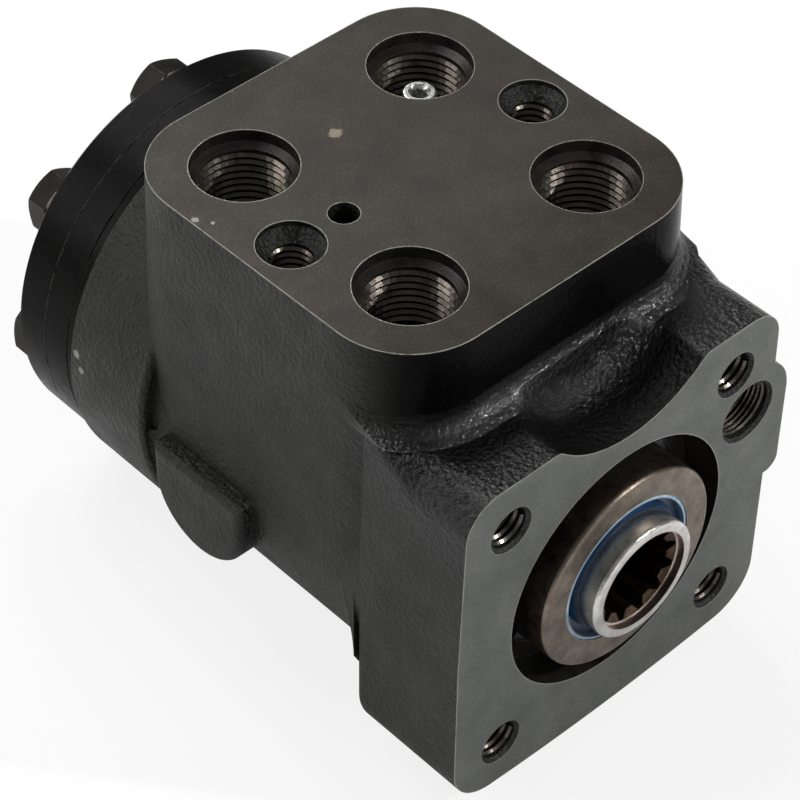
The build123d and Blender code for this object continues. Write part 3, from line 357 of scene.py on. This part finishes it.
stack_black = smooth_black(
    "satin black paint", (0.0040, 0.0041, 0.0040), (0.0050, 0.0050, 0.0046),
    0.24, 0.36, 0.45, 0.04,
)
screw_black = smooth_black(
    "black oxide", (0.0065, 0.0052, 0.0042), (0.016, 0.013, 0.010),
    0.28, 0.44, 0.6, 0.12,
)
for name in ("spacer_plate", "gear_ring", "end_cover"):
    dress(name, stack_black)
dress("cap_screws", screw_black)
dress("relief_screw", screw_black)
print("stack and screws dressed")

# %% [markdown]
# ## Turned and ground steel
#
# Steel that was turned keeps rings from the tool round its axis. A wave along the radius
# draws them. Noise along the same axis would do nearly the same, but a wave shows the even
# step of a tool. Stains and pits break up the sheen, because oiled steel is never clean.
# The spool has zones of its own: a polished end, brown spline spaces painted dark as painted shade
# with an oil tint, and paler tooth ends, a less shaded copy.

# %% Steel finishes
OIL_STAIN, RUST = (0.12, 0.055, 0.025), (0.16, 0.060, 0.025)
# Pale colour laid on steel edges as a painted edge highlight.
PAINTED_EDGE_HIGHLIGHT = (0.60, 0.57, 0.50)


def turned_steel(name, dark, light, rough_low, rough_high, ring_size, stain, pits):
    f = Finish(name)
    radius = f.away(f.x, f.z)
    rings = f.calc("SINE", f.calc("MULTIPLY", f.calc("ADD", radius, f.y), 2 * math.pi / ring_size))
    rings = f.spread(rings, -1.0, 1.0)
    color = f.blend(f.spread(f.noise(4, 5, 0.65), 0.32, 0.7), dark, light)
    stained = f.calc("MULTIPLY", f.spread(f.noise(2.2, 4, 0.7), 0.54, 0.68), stain)
    color = f.blend(stained, color, OIL_STAIN)
    rough = f.spread(f.noise(1.6, 4, 0.6), 0.3, 0.7, rough_low, rough_high)
    pitted = f.calc("MULTIPLY", f.spread(f.noise(0.5, 3, 0.7), 0.45, 0.70), pits)
    f.relief(f.calc("SUBTRACT", f.calc("MULTIPLY", rings, 0.25), pitted), 0.08, 0.6)
    # Painted highlight: every edge of the turned steel is painted a bright, even line.
    pale_edge = f.calc("MULTIPLY", f.edge(0.3), 0.5)
    color = f.blend(pale_edge, color, PAINTED_EDGE_HIGHLIGHT)
    return f.look(color, 0.95, rough)


def spool_finish():
    """Polished end; brown spline spaces painted dark as painted shade, with an oil tint; paler tooth
    ends, a less shaded copy.
    """
    f = Finish("polished spool, oiled and shade-painted spline")
    radius = f.away(f.x, f.z)
    inside = f.spread(radius, SPLINE_R + 0.25, SPLINE_R + 0.05)
    tooth_end = f.calc("MULTIPLY", inside, f.spread(f.y, TOOTH_Y + 0.15, TOOTH_Y + 0.05))
    bright = f.blend(f.spread(f.noise(3, 5, 0.65), 0.32, 0.7), (0.50, 0.48, 0.45), (0.82, 0.81, 0.78))
    # Painted shade: the inside of the spline socket is painted dark brown, and the tooth ends near
    # its mouth are painted paler, as if lit.
    brown = f.blend(f.spread(f.noise(2, 4), 0.3, 0.7), (0.035, 0.022, 0.014), (0.095, 0.062, 0.040))
    pale = f.blend(f.spread(f.noise(1.5, 4), 0.3, 0.7), (0.16, 0.13, 0.105), (0.34, 0.29, 0.24))
    color = f.blend(tooth_end, f.blend(inside, bright, brown), pale)
    rust = f.spread(f.noise(1.3, 4, 0.75), 0.62, 0.70)
    color = f.blend(f.calc("MULTIPLY", rust, 0.75), color, RUST)
    outside = f.spread(inside, 0.5, 0.1)
    lip = f.calc("MULTIPLY", f.spread(radius, SPLINE_R + 0.9, SPLINE_R + 0.4), outside)
    color = f.blend(f.calc("MULTIPLY", lip, 0.6), color, (0.50, 0.34, 0.28))
    f.relief(f.spread(f.noise(0.5, 3, 0.7), 0.70, 0.45), 0.05, 0.5)
    rough = f.spread(f.noise(1.6, 4, 0.6), 0.3, 0.7, 0.10, 0.24)
    return f.look(color, 0.95, f.level(inside, rough, 0.34))


bush_steel = turned_steel(
    "turned bush steel", (0.115, 0.093, 0.072), (0.25, 0.21, 0.17),
    0.24, 0.38, 0.30, 0.30, 0.3,
)
shaft_steel = spool_finish()
plain_steel = turned_steel(
    "plain steel", (0.34, 0.33, 0.31), (0.55, 0.54, 0.52),
    0.22, 0.36, 0.25, 0.12, 0.2,
)
bright_zinc = turned_steel(
    "bright zinc", (0.68, 0.69, 0.69), (0.85, 0.86, 0.85),
    0.16, 0.28, 0.20, 0.04, 0.1,
)
spring_blue = turned_steel(
    "blued spring steel", (0.10, 0.12, 0.16), (0.22, 0.24, 0.28),
    0.25, 0.40, 0.30, 0.10, 0.2,
)
washer_steel = turned_steel(
    "dark washer steel", (0.045, 0.040, 0.034), (0.10, 0.09, 0.078),
    0.32, 0.48, 0.30, 0.15, 0.3,
)
finishes = {
    bush_steel: ("gland_bushing", "drive_link", "drive_spacer", "relief_seat"),
    shaft_steel: ("control_spool",),
    plain_steel: ("front_race", "needle_bearing", "rear_race", "control_sleeve", "cross_pin",
                  "rotor", "check_ball", "relief_poppet"),
    bright_zinc: ("check_valve_body",),
    spring_blue: ("retaining_ring", "flat_springs", "curved_springs", "relief_spring"),
    washer_steel: ("screw_washers",),
}
for material, names in finishes.items():
    for name in names:
        dress(name, material)
print("steel pieces dressed")

# %% [markdown]
# ## Seals
#
# Rubber is matt, with a soft sheen at glancing angles and dust in its pores. The wiper in
# the mouth of the gland is a harder blue plastic, paler on its rim, where it was rubbed.

# %% Rubber and wiper
def rubber_finish():
    f = Finish("black rubber")
    color = f.blend(f.spread(f.noise(3, 4), 0.3, 0.7), (0.010, 0.010, 0.010), (0.024, 0.023, 0.022))
    f.relief(f.noise(0.4, 3), 0.05, 0.5)
    f.shader.inputs["Sheen Weight"].default_value = 0.15
    return f.look(color, 0.0, f.spread(f.noise(2, 3), 0.3, 0.7, 0.55, 0.72))


def wiper_finish():
    f = Finish("blue wiper")
    radius = f.away(f.x, f.z)
    rim = f.spread(radius, 15.3, 15.8)
    deep = f.blend(f.spread(f.noise(2.5, 3), 0.3, 0.7), (0.010, 0.030, 0.075), (0.022, 0.065, 0.15))
    pale = f.blend(f.spread(f.noise(1.8, 4, 0.7), 0.3, 0.7), (0.20, 0.36, 0.52), (0.55, 0.68, 0.78))
    f.relief(f.noise(0.6, 3), 0.05, 0.4)
    return f.look(f.blend(rim, deep, pale), 0.0, f.spread(f.noise(2, 3), 0.3, 0.7, 0.25, 0.42))


black_rubber = rubber_finish()
for name in ("shaft_seal", "gland_o_ring", "housing_seal", "spacer_seal", "cover_seal"):
    dress(name, black_rubber)
dress("dust_seal", wiper_finish())
undressed = [name for name in nodes if not nodes[name].data.materials]
print("seals dressed, pieces without a finish:", undressed)

# %% [markdown]
# ## Threads
#
# A thread is a ridge that climbs round a hole. The quickest way to make it is to draw its
# flat-topped section once and spin it, lifting it a little at each step. The spin keeps
# the first and last face, so the ridge is a closed solid. A screw modifier would also do
# it, but then the ends need closing by hand.

# %% Thread builder
STEPS_PER_TURN = 36
THREAD_ROOT_BITE = 0.15     # how far the ridge sinks into the wall


def cut_thread(name, hole_r, height, pitch, length, material):
    """A closed ridge on the wall of an upright hole whose mouth is at the origin."""
    bm = bmesh.new()
    turns = length / pitch - 1.0
    half = pitch * 0.46
    root, crest, flat = hole_r + THREAD_ROOT_BITE, hole_r - height, pitch * 0.06
    corners = [(root, -half), (crest, -flat), (crest, flat), (root, half)]
    start = -length + half
    verts = [bm.verts.new((r * MM, 0.0, (start + z) * MM)) for r, z in corners]
    section = bm.faces.new(verts)
    steps = int(turns * STEPS_PER_TURN)
    bmesh.ops.spin(
        bm, geom=[section, *section.edges, *section.verts], cent=(0, 0, 0), axis=(0, 0, 1),
        dvec=(0, 0, turns * pitch * MM / steps), angle=turns * 2 * math.pi, steps=steps,
        use_merge=False,
    )
    bmesh.ops.recalc_face_normals(bm, faces=bm.faces)
    return finish_piece(name, bm, material)


def finish_piece(name, bm, material):
    mesh = bpy.data.meshes.new(name)
    bm.to_mesh(mesh)
    bm.free()
    mesh.materials.append(material)
    for polygon in mesh.polygons:
        polygon.use_smooth = False
    piece = bpy.data.objects.new(name, mesh)
    bpy.context.scene.collection.objects.link(piece)
    return piece


def set_in(piece, x, y, z, out):
    """Stand the piece in its hole: its own up becomes the way out of the mouth."""
    turn = Vector((0, 0, 1)).rotation_difference(Vector(out)).to_matrix().to_4x4()
    piece.data.transform(Matrix.Translation(Vector((x, y, z)) * MM) @ turn)
    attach(piece, "fixed_parts")


# %% Thread finish
def thread_finish():
    f = Finish("cut thread")
    color = f.blend(f.spread(f.noise(3, 4), 0.3, 0.7), (0.055, 0.047, 0.040), (0.14, 0.12, 0.10))
    # Painted highlight: the thread crests are painted pale to stand for glints.
    color = f.blend(f.calc("MULTIPLY", f.edge(0.12), 0.85), color, (0.52, 0.48, 0.42))
    f.relief(f.noise(0.5, 3), 0.04, 0.5)
    return f.look(color, 0.8, f.spread(f.noise(1.5, 3), 0.3, 0.7, 0.20, 0.32))


thread_iron = thread_finish()

# %% Threads in the holes
PORT_PITCH = 25.4 / 16
SCREW_PITCH, SCREW_RIDGE = 1.5, 0.42
for side in (-1, 1):
    for end in (-1, 1):
        length = PORT_THREAD_TOP - PORT_FLOOR
        name = f"port_thread_{'left' if side < 0 else 'right'}_{'front' if end < 0 else 'rear'}"
        piece = cut_thread(name, PORT_R, 0.55, PORT_PITCH, length, thread_iron)
        y = PORT_MID_Y + end * PORT_HALF_PITCH
        set_in(piece, side * PORT_X, y, PORT_THREAD_TOP, (0, 0, 1))
    name = f"face_thread_{'left' if side < 0 else 'right'}"
    piece = cut_thread(name, FACE_HOLE_R, SCREW_RIDGE, SCREW_PITCH, 15.5, thread_iron)
    set_in(piece, side * FACE_HOLE_X, PORT_MID_Y, PORT_FACE - 3.6, (0, 0, 1))
    for level in (-1, 1):
        name = f"flange_thread_{'left' if side < 0 else 'right'}_{'low' if level < 0 else 'high'}"
        piece = cut_thread(name, FLANGE_HOLE_R, SCREW_RIDGE, SCREW_PITCH, 18.0, thread_iron)
        set_in(piece, side * FLANGE_HOLE, 1.0, level * FLANGE_HOLE, (0, -1, 0))
relief_thread = cut_thread("relief_thread", RELIEF_R, 0.35, 1.0, 11.5, thread_iron)
set_in(relief_thread, RELIEF_X, 1.0, RELIEF_Z, (0, -1, 0))

# %% [markdown]
# ## Studio
#
# The unit lies on a white sweep under soft light. Large lamps give broad, quiet
# highlights, which is what black metal needs. One small lamp at the front right is there to
# leave hard dots, because wet cast grain sparkles. The sweep is white by its own colour,
# so the lamps can stay low enough to keep the black deep.

# %% Floor and backdrop
def white_sweep():
    material = bpy.data.materials.new("white sweep")
    material.use_nodes = True
    tree = material.node_tree
    shader = tree.nodes["Principled BSDF"]
    shader.inputs["Base Color"].default_value = (0.9, 0.9, 0.9, 1)
    shader.inputs["Roughness"].default_value = 0.9
    shader.inputs["Specular IOR Level"].default_value = 0.1
    shown = tree.nodes.new("ShaderNodeEmission")
    shown.inputs["Color"].default_value = (1, 1, 1, 1)
    path = tree.nodes.new("ShaderNodeLightPath")
    mix = tree.nodes.new("ShaderNodeMixShader")
    tree.links.new(path.outputs["Is Camera Ray"], mix.inputs[0])
    tree.links.new(shader.outputs[0], mix.inputs[1])
    add = tree.nodes.new("ShaderNodeMixShader")
    add.inputs[0].default_value = 0.82
    tree.links.new(shader.outputs[0], add.inputs[1])
    tree.links.new(shown.outputs[0], add.inputs[2])
    tree.links.new(add.outputs[0], mix.inputs[2])
    tree.links.new(mix.outputs[0], tree.nodes["Material Output"].inputs[0])
    return material


floor_mesh = bpy.data.meshes.new("floor")
bm = bmesh.new()
bmesh.ops.create_grid(bm, x_segments=1, y_segments=1, size=6.0)
bmesh.ops.translate(bm, verts=bm.verts, vec=(0, 0, bounds_loaded[0][2]))
bm.to_mesh(floor_mesh)
bm.free()
floor_mesh.materials.append(white_sweep())
floor = bpy.data.objects.new("floor", floor_mesh)
bpy.context.scene.collection.objects.link(floor)

world = bpy.data.worlds.new("studio")
bpy.context.scene.world = world
world.use_nodes = True
world.node_tree.nodes["Background"].inputs["Color"].default_value = (1, 1, 1, 1)
world.node_tree.nodes["Background"].inputs["Strength"].default_value = 0.18


# %% Lamps
def lamp(name, place, target, size, watts):
    light = bpy.data.lights.new(name, "AREA")
    light.shape = "RECTANGLE"
    light.size, light.size_y = size
    light.energy = watts
    holder = bpy.data.objects.new(name, light)
    bpy.context.scene.collection.objects.link(holder)
    holder.location = place
    holder.rotation_euler = (Vector(target) - Vector(place)).to_track_quat("-Z", "Y").to_euler()


MIDDLE = (0.0, 0.055, 0.01)
lamp("overhead bank", (0.05, 0.60, 0.85), MIDDLE, (0.8, 0.5), 7.0)
lamp("left rear bank", (-0.64, 0.52, 0.45), MIDDLE, (0.45, 0.5), 3.0)
lamp("front bank", (0.10, -0.85, 0.30), MIDDLE, (0.5, 0.5), 0.45)
lamp("right front spot", (0.44, -0.62, 0.50), (0.0, 0.02, 0.04), (0.03, 0.03), 4.6)

# %% Camera
camera_data = bpy.data.cameras.new("camera")
camera_data.sensor_width = 36.0
camera_data.lens = 133.4
camera = bpy.data.objects.new("camera", camera_data)
bpy.context.scene.collection.objects.link(camera)
camera.location = (-0.2891, -0.2450, 0.4085)
AZIMUTH, ELEVATION, ROLL = 46.50, -44.27, 0.75
ahead = Vector((
    math.cos(math.radians(ELEVATION)) * math.cos(math.radians(AZIMUTH)),
    math.cos(math.radians(ELEVATION)) * math.sin(math.radians(AZIMUTH)),
    math.sin(math.radians(ELEVATION)),
))
level_turn = ahead.to_track_quat("-Z", "Y").to_matrix().to_4x4()
camera.matrix_world = (
    Matrix.Translation(camera.location) @ level_turn @ Matrix.Rotation(math.radians(ROLL), 4, "Z")
)
bpy.context.scene.camera = camera
bpy.context.scene.view_settings.view_transform = "Standard"
